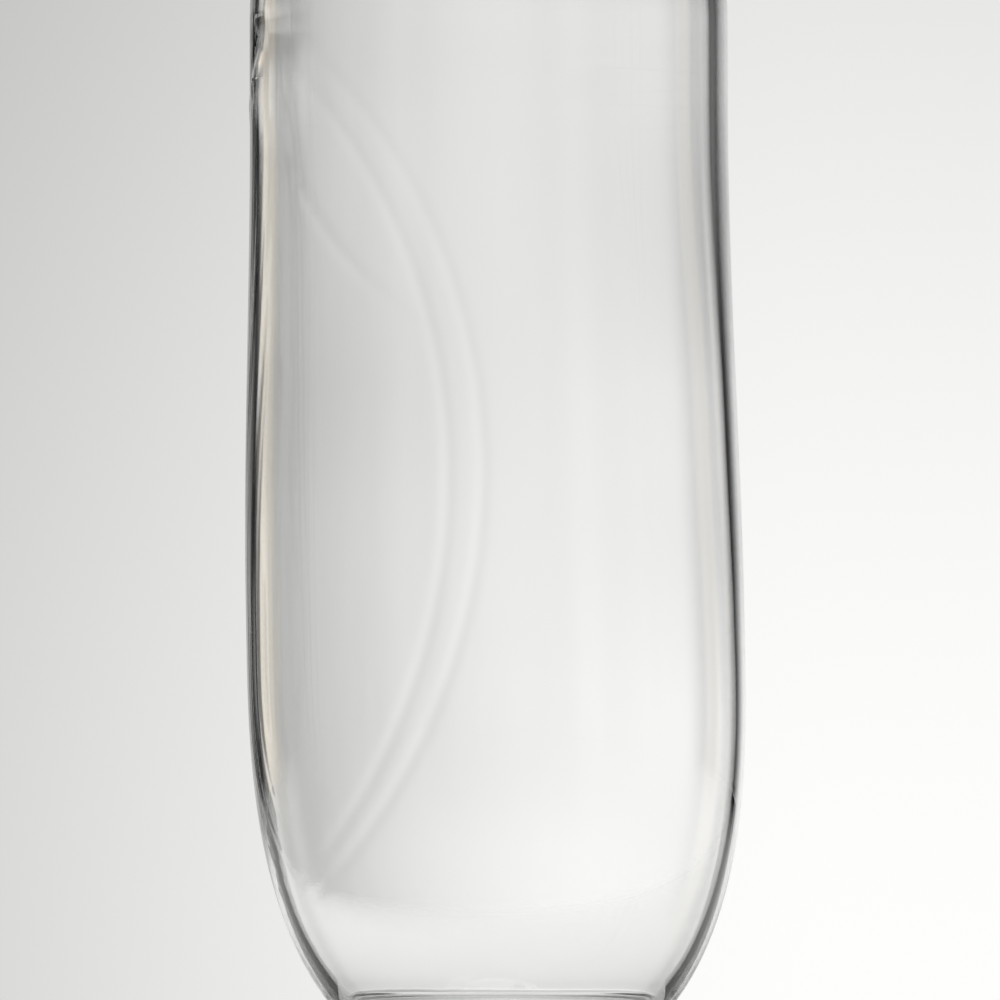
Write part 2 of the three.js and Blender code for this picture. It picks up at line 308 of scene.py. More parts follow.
PANEL_MIDDLE = -46
PANEL_HALF_WIDTH = (6, 11)
CEILING_TONE = (0.92, 0.92, 0.91, 1)
CEILING_EDGE = (9, 24)
TOP_SHADE = (0, 9)
TOP_SHADE_DEPTH = 0.4

# The bench fades out between two distances from the flask. The world takes on its tone below the
# horizon, between the two angles of BENCH_HAZE.
BENCH_TONE = (0.9, 0.9, 0.89, 1)
BENCH_COLOUR = (0.88, 0.88, 0.87, 1)
BENCH_ROUGHNESS = 0.8
BENCH_SHINE = 0.2
BENCH_HAZE = (-7, -18)
BENCH_FADE = (0.15, 0.95)
BENCH_RADIUS = 1
BENCH_SIDES = 128
BENCH_DROP = 0.00002

# Black cards on the bench behind the flask, which carry the dark edge lines of the body down to its
# base. Each lies along the way that the light of its edge takes. They show only in light that has
# crossed at most two surfaces of glass, as it does at an edge, so they stay unseen elsewhere.
CARD_COLOUR = (0.01, 0.01, 0.01, 1)
CARD_TURN = math.radians(31)
CARD_START = 28
CARD_LENGTH = 700
CARD_HALF_WIDTH = (4, 120)
CARD_HEIGHT = 0.3
CARD_SURFACES = 2

LAMP_PLACE = (0.1, 0.2, 2.2)
LAMP_SIZE = 1.6
LAMP_POWER = 9


# ---------------------------------------------------------------- shape of the flask


def rise(start, end, x):
    """0 below start, 1 above end, and a smooth rise between them."""
    t = min(1, max(0, (x - start) / (end - start)))
    return t * t * (3 - 2 * t)


def bump(centre, half_width, x):
    """1 at the centre, falling smoothly to 0 at half_width on either side."""
    t = abs(x - centre) / half_width
    return 0 if t >= 1 else (1 - t * t) ** 2


BEND_CENTRE = Vector((-LEAN - BEND_RADIUS, BEND_START))
BEND_END_HEIGHT = BEND_START + BEND_RADIUS * math.sin(BEND_ANGLE)
NECK_LENGTH = (BEND_END_HEIGHT - NECK_TIP_RADIUS * math.sin(BEND_ANGLE)) / -math.cos(BEND_ANGLE)
FLASK_END = BEND_END + NECK_LENGTH
TIP_START = FLASK_END - TIP_LENGTH


def lean_at(along):
    turn = math.pi * min(along, BEND_START) / (2 * BEND_START)
    return -LEAN * math.sin(turn) ** LEAN_POWER


def body_radius(along):
    if along < HEEL_TOP:
        return BASE_RADIUS + math.sqrt(HEEL_RADIUS**2 - (HEEL_RADIUS - along) ** 2)
    if along < WIDEST_ALONG:
        depth = (WIDEST_ALONG - along) / BOTTOM_CURVE_HEIGHT
        return WIDEST_RADIUS * (1 - depth**BOTTOM_CURVE_POWER) ** (1 / BOTTOM_CURVE_POWER)
    return WIDEST_RADIUS - (WIDEST_RADIUS - UPPER_RADIUS) * rise(NARROWING_START, NARROWING_END, along)


def outer_radius(along):
    if along <= BEND_END:
        return body_radius(along) - (UPPER_RADIUS - NECK_ROOT_RADIUS) * rise(BEND_START, BEND_END, along)
    left = max(0, (FLASK_END - along) / NECK_LENGTH)
    return NECK_TIP_RADIUS + (NECK_ROOT_RADIUS - NECK_TIP_RADIUS) * left**NECK_TAPER_POWER


def wall_thickness(along):
    heel = HEEL_EXTRA_WALL * math.exp(-(along - HEEL_TOP) / HEEL_WALL_FADE)
    upper = UPPER_EXTRA_WALL * rise(UPPER_WALL_START, BEND_START, along)
    bend = BEND_WALL_LOSS * rise(BEND_START, BEND_END, along)
    neck = NECK_WALL_LOSS * rise(BEND_END, FLASK_END, along)
    return THIN_WALL + heel + upper - bend - neck


def inner_radius(along):
    return outer_radius(along) - wall_thickness(along)


def centre_line(along):
    """The centre line's x and z, and the direction of the bend's outer side, at a distance along it."""
    if along <= BEND_START:
        return lean_at(along), along, 1, 0
    angle = min((along - BEND_START) / BEND_RADIUS, BEND_ANGLE)
    straight = max(0, along - BEND_END)
    x = BEND_CENTRE.x + BEND_RADIUS * math.cos(angle) - straight * math.sin(angle)
    z = BEND_CENTRE.y + BEND_RADIUS * math.sin(angle) + straight * math.cos(angle)
    return x, z, math.cos(angle), math.sin(angle)


def bent_point(along, radius, angle):
    x, z, out_x, out_z = centre_line(along)
    across = radius * math.cos(angle)
    return Vector((x + across * out_x, radius * math.sin(angle), z + across * out_z))


def gaussian(distance, width):
    return math.exp(-((distance / width) ** 2))


def circle_through(a, b, c):
    """The centre and radius of the circle through three points."""
    to_b, to_c = Vector(b) - Vector(a), Vector(c) - Vector(a)
    area = 2 * (to_b.x * to_c.y - to_b.y * to_c.x)
    b_square, c_square = to_b.length_squared, to_c.length_squared
    x = (to_c.y * b_square - to_b.y * c_square) / area
    y = (to_b.x * c_square - to_c.x * b_square) / area
    return Vector(a) + Vector((x, y)), math.hypot(x, y)


ARC_CIRCLES = [circle_through(head, middle, foot) for head, middle, foot, _ in FLOW_ARCS]


def flow_ridges(x, z):
    """Height of the shallow arcs that the glass left as it ran, on the near side of the body."""
    height = 0
    for (head, _, foot, depth), (centre, radius) in zip(FLOW_ARCS, ARC_CIRCLES):
        distance = math.hypot(x - centre.x, z - centre.y) - radius
        bottom = rise(foot[1] - ARC_FADE / 2, foot[1] + ARC_FADE / 2, z)
        top = rise(head[1] + ARC_FADE / 2, head[1] - ARC_FADE / 2, z)
        height += depth * bottom * top * gaussian(distance, ARC_WIDTH)
    return height


def draw_lines(along, angle):
    """Fine lines along the left of the glass, drawn out as the body was blown."""
    share = bump(math.pi, DRAW_SPREAD, angle) * rise(*DRAW_RISE, along)
    if share == 0:
        return 0
    across = angle * inner_radius(along) / DRAW_SPACING
    return DRAW_DEPTH * share * noise.noise(Vector((across, along / DRAW_LENGTH, DRAW_NOISE_SLICE)))


def knuckle(along, angle):
    """A lump of glass inside the left wall just above the fused seam, with a hollow below it."""
    lump = KNUCKLE_DEPTH * gaussian(along - KNUCKLE_ALONG, KNUCKLE_HEIGHT)
    hollow = HOLLOW_DEPTH * bump(HOLLOW_ALONG, HOLLOW_HALF_HEIGHT, along)
    return (lump - hollow) * bump(math.pi, KNUCKLE_SPREAD, angle)


def uneven_wall(along, angle):
    """How far the inside of the hand-blown wall stands in from its mean, in millimetres."""
    side = math.cos(angle)
    upper = UPPER_LOPSIDED * rise(*UPPER_LOPSIDED_RISE, along) * rise(*UPPER_LOPSIDED_FALL, along)
    lower = LOWER_LOPSIDED * bump(LOWER_LOPSIDED_ALONG, LOWER_LOPSIDED_HALF_HEIGHT, along)
    lopsided = side * (upper - lower)
    if along > BEND_START + BEND_RADIUS:
        return lopsided
    relief = draw_lines(along, angle) + knuckle(along, angle)
    if math.sin(angle) < 0:
        radius = inner_radius(along)
        relief += flow_ridges(lean_at(along) + radius * side, along)
    return lopsided + relief


def seam_fold(along, angle):
    """A slanting fold in the outside of the seam, at the left of the near side."""
    arc = (angle - math.pi) * outer_radius(along)
    slant = (along - FOLD_START - FOLD_SLOPE * arc) * math.cos(math.atan(FOLD_SLOPE))
    ends = rise(*FOLD_HEAD_RISE, arc) * rise(FOLD_LENGTH + FOLD_TAIL, FOLD_LENGTH, arc)
    crest = gaussian(slant, FOLD_WIDTH)
    trough = gaussian(slant - 2 * FOLD_WIDTH, FOLD_WIDTH)
    return FOLD_DEPTH * ends * (crest - trough)


def stations(start, end, step):
    """Places from start to end, in equal steps that are no longer than step."""
    count = max(1, math.ceil(abs(end - start) / step))
    return [start + (end - start) * i / count for i in range(count + 1)]


# ---------------------------------------------------------------- meshes


# Kinds of face. While a mesh is being made they are its material indices.
CLEAR = 0
FUSED = 1
GROUND = 2
KIND_MARKS = [bpy.data.materials.new(kind) for kind in ("clear_mark", "fused_mark", "ground_mark")]


def settle(piece, material):
    """Turns the kinds of face into attributes that the glass reads, and gives the piece one material."""
    data = piece.data
    kinds = [face.material_index for face in data.polygons]
    for kind, name in ((FUSED, "fused"), (GROUND, "ground")):
        values = data.attributes.new(name, "FLOAT", "FACE").data
        values.foreach_set("value", [float(k == kind) for k in kinds])
    data.materials.clear()
    data.materials.append(material)
    return piece


def new_piece(name, mesh):
    """An object in the scene that holds a bmesh, with the kinds of face as its materials."""
    data = bpy.data.meshes.new(name)
    mesh.to_mesh(data)
    mesh.free()
    for mark in KIND_MARKS:
        data.materials.append(mark)
    piece = bpy.data.objects.new(name, data)
    bpy.context.scene.collection.objects.link(piece)
    return piece


def apply_modifiers(piece):
    evaluated = piece.evaluated_get(bpy.context.evaluated_depsgraph_get())
    piece.data = bpy.data.meshes.new_from_object(evaluated)
    piece.modifiers.clear()


class Solid:
    """Collects rings of points and the faces between them, and turns them into one closed mesh."""

    def __init__(self, name, body, node, slot):
        self.name = name
        self.body = body
        self.node = node
        self.slot = slot
        self.mesh = bmesh.new()

    def ring(self, points):
        return [self.mesh.verts.new(p * MM) for p in points]

    def band(self, low, high, kind=CLEAR):
        count = len(low)
        for i in range(count):
            j = (i + 1) % count
            face = self.mesh.faces.new((low[i], low[j], high[j], high[i]))
            face.material_index = kind
            face.smooth = kind != FUSED

    def bands(self, rings):
        for low, high in zip(rings, rings[1:]):
            self.band(low, high)

    def fan(self, ring, centre, kind=CLEAR):
        middle = self.mesh.verts.new(centre * MM)
        count = len(ring)
        for i in range(count):
            face = self.mesh.faces.new((ring[i], ring[(i + 1) % count], middle))
            face.material_index = kind
            face.smooth = kind != FUSED

    def tube(self, outside, inside):
        """A wall that is fused to its neighbours at both ends. The rings of its inside run back."""
        self.bands(outside)
        self.band(outside[-1], inside[0], FUSED)
        self.bands(inside)
        self.band(inside[-1], outside[0], FUSED)

    def turn(self, outline, place):
        """Turns an outline round an axis.

        outline holds (radius, height, kind of the face to the next point), and returns to its start
        unless both ends are on the axis. place gives the point at a radius, height and angle.
        """
        rings = []
        for radius, height, _ in outline:
            if radius == 0:
                rings.append(place(0, height, 0))
            else:
                rings.append(self.ring([place(radius, height, a) for a in angles(TUBE_SIDES)]))
        for low, high, (_, _, kind) in zip(rings, rings[1:] + rings[:1], outline):
            low_on_axis, high_on_axis = isinstance(low, Vector), isinstance(high, Vector)
            if low_on_axis and high_on_axis:
                continue
            if low_on_axis:
                self.fan(high, low, kind)
            elif high_on_axis:
                self.fan(low, high, kind)
            else:
                self.band(low, high, kind)

    def build(self):
        bmesh.ops.recalc_face_normals(self.mesh, faces=self.mesh.faces)
        piece = new_piece(self.name, self.mesh)
        piece.data.set_sharp_from_angle(angle=SHARP_ANGLE)
        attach(piece, self.body)
        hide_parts(self.node)
        return piece

    def finish(self, material):
        return settle(self.build(), material)


def arc_points(centre, radius, start, end, steps):
    """Points of an arc in the plane of (radius, height), from one angle to another in degrees."""
    points = []
    for i in range(steps + 1):
        turn = math.radians(start + (end - start) * i / steps)
        points.append((centre[0] + radius * math.cos(turn), centre[1] + radius * math.sin(turn)))
    return points


def angles(sides):
    return [2 * math.pi * i / sides for i in range(sides)]


def flask_ring(solid, along, radius_at, sides=SIDES):
    return solid.ring([bent_point(along, radius_at(along, a), a) for a in angles(sides)])


def outer_wall(along, angle):
    start, end = FOLD_ZONE
    return outer_radius(along) + (seam_fold(along, angle) if start < along < end else 0)


def inner_wall(along, angle):
    return inner_radius(along) - uneven_wall(along, angle)


def wall_section(name, node, slot, start, end, sides=SIDES):
    """A section of the flask's wall, fused to its neighbours at both ends."""
    solid = Solid(name, "flask", node, slot)
    outside = [flask_ring(solid, s, outer_wall, sides) for s in stations(start, end, OUTER_STEP)]
    inside = [flask_ring(solid, s, inner_wall, sides) for s in stations(end, start, INNER_STEP)]
    solid.tube(outside, inside)
    return solid


# ---------------------------------------------------------------- materials


def node_material(name):
    material = bpy.data.materials.new(name)
    material.use_nodes = True
    return material, material.node_tree.nodes, material.node_tree.links


def math_node(nodes, links, operation, a, b=None):
    node = nodes.new("ShaderNodeMath")
    node.operation = operation
    for socket, value in zip(node.inputs, (a, b)):
        if value is None:
            continue
        if isinstance(value, (int, float)):
            socket.default_value = value
        else:
            links.new(value, socket)
    return node.outputs[0]


def range_node(nodes, links, value, low, high, to_low=0.0, to_high=1.0):
    node = nodes.new("ShaderNodeMapRange")
    node.interpolation_type = "SMOOTHSTEP"
    links.new(value, node.inputs["Value"])
    node.inputs["From Min"].default_value = low
    node.inputs["From Max"].default_value = high
    node.inputs["To Min"].default_value = to_low
    node.inputs["To Max"].default_value = to_high
    return node.outputs["Result"]


# The mix node has a set of sockets for each type of value, all with the same names. These are the
# numbers of those for colours.
MIX_INPUTS = (6, 7)
MIX_OUTPUT = 2


def mix_node(nodes, links, factor, a, b):
    node = nodes.new("ShaderNodeMix")
    node.data_type = "RGBA"
    links.new(factor, node.inputs["Factor"])
    for i, value in zip(MIX_INPUTS, (a, b)):
        if isinstance(value, tuple):
            node.inputs[i].default_value = value
        else:
            links.new(value, node.inputs[i])
    return node.outputs[MIX_OUTPUT]


def face_kind(nodes, name):
    """1 on the faces of a kind, and 0 elsewhere."""
    kind = nodes.new("ShaderNodeAttribute")
    kind.attribute_name = name
    return kind.outputs["Fac"]


def glass_material(name):
    """Glass with the faint unevenness of blown glass in its surface, which dims light along its path.

    A "fused" face is where two sections of glass run into each other, and it lets light straight
    through. It keeps the same material, so that light is dimmed alike on both sides of it.
    """
    material, nodes, links = node_material(name)
    shader = nodes["Principled BSDF"]
    shader.inputs["Base Color"].default_value = (1, 1, 1, 1)
    shader.inputs["Transmission Weight"].default_value = 1
    shader.inputs["Roughness"].default_value = 0
    shader.inputs["IOR"].default_value = GLASS_IOR
    solid = math_node(nodes, links, "SUBTRACT", 1.0, face_kind(nodes, "fused"))
    links.new(solid, shader.inputs["Alpha"])
    place = nodes.new("ShaderNodeTexCoord")
    stretch = nodes.new("ShaderNodeMapping")
    stretch.inputs["Scale"].default_value = BLOWN_RELIEF_SCALE
    streaks = nodes.new("ShaderNodeTexNoise")
    streaks.inputs["Scale"].default_value = 1
    streaks.inputs["Detail"].default_value = BLOWN_RELIEF_DETAIL
    relief = nodes.new("ShaderNodeBump")
    relief.inputs["Strength"].default_value = BLOWN_RELIEF
    relief.inputs["Distance"].default_value = BLOWN_RELIEF_HEIGHT
    links.new(place.outputs["Object"], stretch.inputs["Vector"])
    links.new(stretch.outputs["Vector"], streaks.inputs["Vector"])
    links.new(streaks.outputs["Fac"], relief.inputs["Height"])
    links.new(relief.outputs["Normal"], shader.inputs["Normal"])
    absorb = nodes.new("ShaderNodeVolumeAbsorption")
    absorb.inputs["Color"].default_value = GLASS_BODY_COLOUR
    absorb.inputs["Density"].default_value = GLASS_BODY_DENSITY
    links.new(absorb.outputs["Volume"], nodes["Material Output"].inputs["Volume"])
    return material


def ground_material():
    """Glass with its ground faces matt and finely grained."""
    material = glass_material("ground_glass")
    nodes, links = material.node_tree.nodes, material.node_tree.links
    shader = nodes["Principled BSDF"]
    ground = face_kind(nodes, "ground")
    grain = nodes.new("ShaderNodeTexNoise")
    grain.inputs["Scale"].default_value = GRAIN_SCALE
    grain.inputs["Detail"].default_value = GRAIN_DETAIL
    links.new(nodes["Texture Coordinate"].outputs["Object"], grain.inputs["Vector"])
    patchy = range_node(nodes, links, grain.outputs["Fac"], *GRAIN_SPAN, *GROUND_ROUGHNESS)
    links.new(math_node(nodes, links, "MULTIPLY", ground, patchy), shader.inputs["Roughness"])
    relief = nodes.new("ShaderNodeBump")
    relief.inputs["Distance"].default_value = GRAIN_RELIEF_HEIGHT
    links.new(math_node(nodes, links, "MULTIPLY", ground, GRAIN_RELIEF), relief.inputs["Strength"])
    links.new(grain.outputs["Fac"], relief.inputs["Height"])
    links.new(nodes["Bump"].outputs["Normal"], relief.inputs["Normal"])
    links.new(relief.outputs["Normal"], shader.inputs["Normal"])
    return material


BLOWN = glass_material("blown_glass")
SEAM_GLASS = glass_material("seam_glass")
GROUND_GLASS = ground_material()


# ---------------------------------------------------------------- the flask's sections


def floor_corner():
    """(radius, height) round the corner between the inside of the wall and the flat floor."""
    top = FLOOR_THICKNESS + FLOOR_CORNER_RADIUS
    centre = (inner_radius(top) - FLOOR_CORNER_RADIUS, top)
    return arc_points(centre, FLOOR_CORNER_RADIUS, 0, -90, FLOOR_CORNER_STEPS)


def make_body():
    solid = Solid("blown_body", "flask", "body", "clear_glass")
    end = BODY_END - MEETING_GAP / 2
    heel = stations(0, HEEL_TOP, HEEL_STEP)
    low = stations(HEEL_TOP, LOW_PART_END, LOW_STEP)
    side = stations(LOW_PART_END, end, OUTER_STEP)
    outside = [flask_ring(solid, s, outer_wall) for s in heel + low[1:] + side[1:]]
    floor_top = FLOOR_THICKNESS + FLOOR_CORNER_RADIUS
    inside = [flask_ring(solid, s, inner_wall) for s in stations(end, floor_top, INNER_STEP)]
    corner = []
    for radius, height in floor_corner()[1:]:
        corner.append(solid.ring([bent_point(height, radius, a) for a in angles(SIDES)]))
    solid.bands(outside)
    solid.band(outside[-1], inside[0], FUSED)
    solid.bands(inside + corner)
    solid.fan(corner[-1], Vector((0, 0, FLOOR_THICKNESS)))
    solid.fan(outside[0], Vector((0, 0, 0)))
    return solid.finish(BLOWN)


def make_seam(name, node, start, end):
    start, end = start + MEETING_GAP / 2, end - MEETING_GAP / 2
    return wall_section(name, node, "fused_glass", start, end).finish(SEAM_GLASS)


def make_neck():
    start = NECK_SEAM_END + MEETING_GAP / 2
    end = TIP_START - GAP / 2 - MEETING_GAP / 2
    return wall_section("drawn_neck", "neck", "clear_glass", start, end, TUBE_SIDES).finish(BLOWN)


def make_neck_tip():
    """The end of the neck, fire-polished into a rounded rim."""
    solid = Solid("polished_tip", "flask", "neck_tip", "clear_glass")
    start = TIP_START - GAP / 2 + MEETING_GAP / 2
    edge_start = FLASK_END - TIP_EDGE_START

    def outer(along, angle):
        bead = TIP_RIM_BEAD * rise(FLASK_END - TIP_BEAD_START, FLASK_END - TIP_BEAD_FULL, along)
        return outer_radius(along) + bead

    outside = [flask_ring(solid, s, outer, TUBE_SIDES) for s in stations(start, edge_start, TIP_STEP)]
    outermost = outer(edge_start, 0)
    innermost = inner_radius(edge_start)
    middle, half = (outermost + innermost) / 2, (outermost - innermost) / 2
    for i in range(1, TIP_EDGE_STEPS):
        turn = math.pi * i / TIP_EDGE_STEPS
        along = edge_start + TIP_EDGE_REACH * math.sin(turn)
        radius = middle + half * math.cos(turn)
        outside.append(solid.ring([bent_point(along, radius, a) for a in angles(TUBE_SIDES)]))
    back = stations(edge_start, start, TIP_STEP)
    inside = [flask_ring(solid, s, inner_wall, TUBE_SIDES) for s in back]
    solid.bands(outside + inside)
    solid.band(inside[-1], outside[0], FUSED)
    return solid.finish(BLOWN)


# ---------------------------------------------------------------- shoulder and tubulature


SEARCH_HEIGHTS = (BEND_START + BEND_RADIUS, BEND_START + 2.2 * BEND_RADIUS)
SEARCH_HALVINGS = 40


def surface_height(x, y, radius_at):
    """The height of the top of the bend's outer or inner surface at x and y, found by halving."""
    low, high = SEARCH_HEIGHTS
    for _ in range(SEARCH_HALVINGS):
        z = (low + high) / 2
        dx, dz = x - BEND_CENTRE.x, z - BEND_CENTRE.y
        along = BEND_START + BEND_RADIUS * math.atan2(dz, dx)
        inside = math.hypot(math.hypot(dx, dz) - BEND_RADIUS, y) < radius_at(along)
        low, high = (z, high) if inside else (low, z)
    return (low + high) / 2


def over_tubulature(radius, angle, radius_at):
    x = TUBULATURE_X + radius * math.cos(angle)
    y = radius * math.sin(angle)
    return Vector((x, y, surface_height(x, y, radius_at)))


def collar_top(angle):
    return over_tubulature(TUBE_RADIUS, angle, outer_radius).z + COLLAR_HEIGHT


def make_shoulder():
    """The bend, with a round hole for the tubulature's collar."""
    start = SEAM_END + MEETING_GAP / 2
    end = NECK_SEAM_START - GAP / 2 - MEETING_GAP / 2
    shoulder = wall_section("bent_shoulder", "shoulder", "clear_glass", start, end).build()
    cutter_mesh = bmesh.new()
    bmesh.ops.create_cone(
        cutter_mesh,
        cap_ends=True,
        segments=SIDES,
        radius1=(COLLAR_RADIUS + MEETING_GAP) * MM,
        radius2=(COLLAR_RADIUS + MEETING_GAP) * MM,
        depth=CUTTER_LENGTH * MM,
    )
    middle = Vector((TUBULATURE_X, 0, CUTTER_MIDDLE)) * MM
    bmesh.ops.translate(cutter_mesh, verts=cutter_mesh.verts, vec=middle)
    for face in cutter_mesh.faces:
        face.material_index = FUSED
    cutter = new_piece("hole", cutter_mesh)
    cut = shoulder.modifiers.new("hole", "BOOLEAN")
    cut.operation = "DIFFERENCE"
    cut.solver = "EXACT"
    cut.object = cutter
    apply_modifiers(shoulder)
    bpy.data.objects.remove(cutter)
    return settle(shoulder, BLOWN)


def make_collar():
    """The saddle-shaped fillet of glass that joins the shoulder and the tubulature."""
    solid = Solid("saddle_collar", "flask", "tubulature_collar", "fused_glass")

    def fillet(radius_at, inner_edge, step):
        turn = step / COLLAR_STEPS * math.pi / 2
        radius = inner_edge + (COLLAR_RADIUS - inner_edge) * (1 - math.sin(turn))
        points = []
        for a in angles(TUBE_SIDES):
            point = over_tubulature(radius, a, radius_at)
            lift = collar_top(a) - over_tubulature(inner_edge, a, radius_at).z
            point.z += lift * (1 - math.cos(turn))
            points.append(point)
        return solid.ring(points)

    outside = [fillet(outer_radius, TUBE_RADIUS, i) for i in range(COLLAR_STEPS + 1)]
    inside = [fillet(inner_radius, TUBE_INSIDE, i) for i in range(COLLAR_STEPS, -1, -1)]
    solid.tube(outside, inside)
    return solid.finish(SEAM_GLASS)


def make_tubulature():
    solid = Solid("upright_tube", "flask", "tubulature", "clear_glass")
    top = tube_high.z + GAP / 2 - MEETING_GAP / 2

    def ring(radius, step):
        share = step / TUBE_STEPS
        points = []
        for a in angles(TUBE_SIDES):
            bottom = collar_top(a) + MEETING_GAP
            x = TUBULATURE_X + radius * math.cos(a)
            points.append(Vector((x, radius * math.sin(a), bottom + (top - bottom) * share)))
        return solid.ring(points)

    outside = [ring(TUBE_RADIUS, i) for i in range(TUBE_STEPS + 1)]
    inside = [ring(TUBE_INSIDE, i) for i in range(TUBE_STEPS, -1, -1)]
    solid.tube(outside, inside)
    return solid.finish(BLOWN)


# ---------------------------------------------------------------- socket and stopper


def upright(radius, height, angle):
    """A point turned about the tubulature's axis."""
    return Vector((TUBULATURE_X + radius * math.cos(angle), radius * math.sin(angle), height))


def of_kind(points, kind=CLEAR):
    """Points of an outline, each with the same kind of face to the next."""
    return [(radius, height, kind) for radius, height in points]


def ground_piece(name, body, node, outline):
    solid = Solid(name, body, node, "ground_glass")
    solid.turn(outline, upright)
    return solid.finish(GROUND_GLASS)


def make_socket():
    """The socket, from the inside of its foot out over the rim and down the ground face."""
    bottom = socket_low.z - GAP / 2 + MEETING_GAP / 2
    outer = SOCKET_MOUTH_RADIUS + SOCKET_WALL
    rim_bottom = SOCKET_TOP - RIM_HEIGHT
    rim_centre = (RIM_RADIUS - RIM_ROUNDING, SOCKET_TOP - RIM_ROUNDING_DROP)
    out, down = MOUTH_FACE_EDGE
    outline = [(TUBE_INSIDE, bottom, FUSED), (TUBE_RADIUS, bottom, CLEAR)]
    outline += of_kind([(outer + x, rim_bottom + z) for x, z in RIM_FOOT])
    outline += of_kind(arc_points(rim_centre, RIM_ROUNDING, *RIM_ARC, RIM_STEPS))
    outline += [(SOCKET_MOUTH_RADIUS + out, SOCKET_TOP - down, CLEAR)]
    outline += of_kind([(SOCKET_MOUTH_RADIUS + x, SOCKET_TOP - z) for x, z in MOUTH_LIP], GROUND)
    outline += [(SOCKET_MOUTH_RADIUS - GROUND_LENGTH * TAPER, SOCKET_TOP - GROUND_LENGTH, CLEAR)]
    return ground_piece("ground_socket_glass", "flask", "ground_socket", outline)


def make_plug():
    """The hollow plug, from its foot up the ground face, over the top and down inside."""
    low, top = plug_low.z, plug_high.z

    def radius_at(z):
        return SOCKET_MOUTH_RADIUS - GROUND_CLEARANCE - (SOCKET_TOP - z) * TAPER

    edge = radius_at(low)
    shoulder_out, shoulder_up = PLUG_SHOULDER_CENTRE
    shoulder_centre = (PLUG_TOP_RADIUS + shoulder_out, top + shoulder_up)
    dome = arc_points((0, top - PLUG_DOME_DROP), PLUG_DOME_RADIUS, *PLUG_DOME_ARC, PLUG_DOME_STEPS)
    outline = of_kind([(edge - x, low + z) for x, z in PLUG_FOOT])
    outline += [(edge, low + PLUG_GROUND_START, GROUND), (radius_at(SOCKET_TOP), SOCKET_TOP, CLEAR)]
    outline += of_kind(
        arc_points(shoulder_centre, PLUG_SHOULDER_ROUNDING, *PLUG_SHOULDER_ARC, PLUG_SHOULDER_STEPS)
    )
    outline += [(PLUG_TOP_RADIUS, top - PLUG_TOP_EDGE, CLEAR), (STEM_FOOT_RADIUS, top, FUSED)]
    hollow = [(0, dome[0][1])] + dome[1:] + [(edge - PLUG_WALL, low + PLUG_HOLLOW_START)]
    outline += of_kind([(0, top)] + hollow)
    return ground_piece("hollow_plug", "stopper", "stopper_plug", outline)


def make_grip():
    """The flat round thumb piece, melted onto its stem."""
    bottom = grip_low.z - GAP + MEETING_GAP
    centre = grip_high.z - GRIP_RADIUS
    half = GRIP_THICKNESS / 2

    def across(radius, depth, angle):
        """A point of the disc, turned about its own axis, which runs front to back."""
        x = TUBULATURE_X + radius * math.cos(angle)
        return Vector((x, depth, centre + radius * math.sin(angle)))

    disc = [(radius, dish - half) for radius, dish in GRIP_DISH]
    for i in range(GRIP_EDGE_STEPS + 1):
        turn = math.radians(-90 + 180 * i / GRIP_EDGE_STEPS)
        disc.append((GRIP_RADIUS - GRIP_EDGE + GRIP_EDGE * math.cos(turn), half * math.sin(turn)))
    disc += [(radius, half - dish) for radius, dish in reversed(GRIP_DISH)]

    stem_top = centre - GRIP_RADIUS + STEM_IN_GRIP
    foot_in, foot_up = STEM_FOOT_EDGE
    flare_out, flare_up = STEM_FLARE_CENTRE
    flare_centre = (STEM_RADIUS + flare_out, bottom + flare_up)
    stem = [(0, bottom), (STEM_FOOT_RADIUS, bottom), (STEM_FOOT_RADIUS - foot_in, bottom + foot_up)]
    stem += arc_points(flare_centre, STEM_FLARE_ROUNDING, *STEM_FLARE_ARC, STEM_FLARE_STEPS)
    stem += [(STEM_TOP_RADIUS, stem_top), (0, stem_top)]

    solid = Solid("thumb_piece", "stopper", "stopper_grip", "clear_glass")
    solid.turn(of_kind(disc), across)
    solid.turn(of_kind(stem), upright)
    piece = solid.build()
    melt = piece.modifiers.new("melt", "REMESH")
    melt.mode = "VOXEL"
    melt.voxel_size = MELT_VOXEL * MM
    melt.use_smooth_shade = True
    ease = piece.modifiers.new("ease", "SMOOTH")
    ease.factor = MELT_EASE
    ease.iterations = MELT_EASE_ROUNDS
    apply_modifiers(piece)
    for face in piece.data.polygons:
        low = face.center.z / MM < bottom + FUSED_FOOT_HEIGHT
        flat = abs(face.normal.z) > FLAT_ENOUGH
        face.material_index = FUSED if low and flat else CLEAR
        face.use_smooth = True
    return settle(piece, BLOWN)


# ---------------------------------------------------------------- studio


def turn_from(nodes, links, turn, middle):
    """How far a direction round the flask is from a middle one."""
    return math_node(nodes, links, "ABSOLUTE", math_node(nodes, links, "SUBTRACT", turn, middle))


